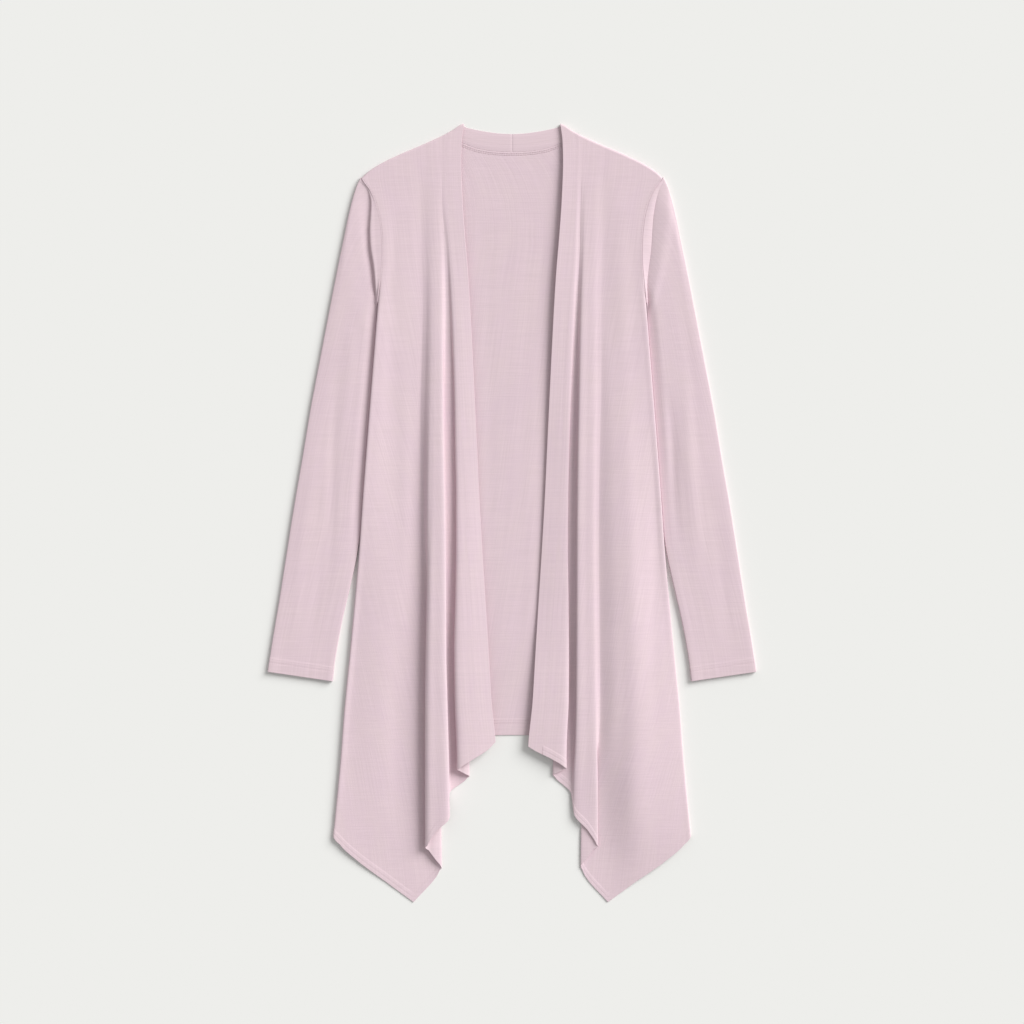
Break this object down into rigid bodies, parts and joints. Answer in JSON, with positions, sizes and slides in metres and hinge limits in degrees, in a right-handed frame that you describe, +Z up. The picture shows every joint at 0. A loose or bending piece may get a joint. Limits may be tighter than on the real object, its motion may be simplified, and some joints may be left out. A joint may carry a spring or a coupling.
{
  "type": "duster cardigan",
  "caption": "Open-front long-sleeved duster cardigan in fine jersey, with draped fronts that fall to points and a band round the back neck, laid flat on its back",
  "frame": {"origin": "the middle of the garment's outline, on the surface it lies on", "axes": "+X is the wearer's left, on the viewer's right; +Y runs from the hem to the neck; +Z is up, away from the surface"},
  "size_m": [0.6246, 0.996, 0.018],
  "materials": {
    "jersey": "fine smooth viscose jersey with faint slubs and a slight sheen, dusty pink"
  },
  "bodies": {
    "root": {"back": "jersey", "right_front": "jersey", "left_front": "jersey", "right_band": "jersey", "left_band": "jersey", "right_sleeve": "jersey", "left_sleeve": "jersey"}
  },
  "joints": []
}
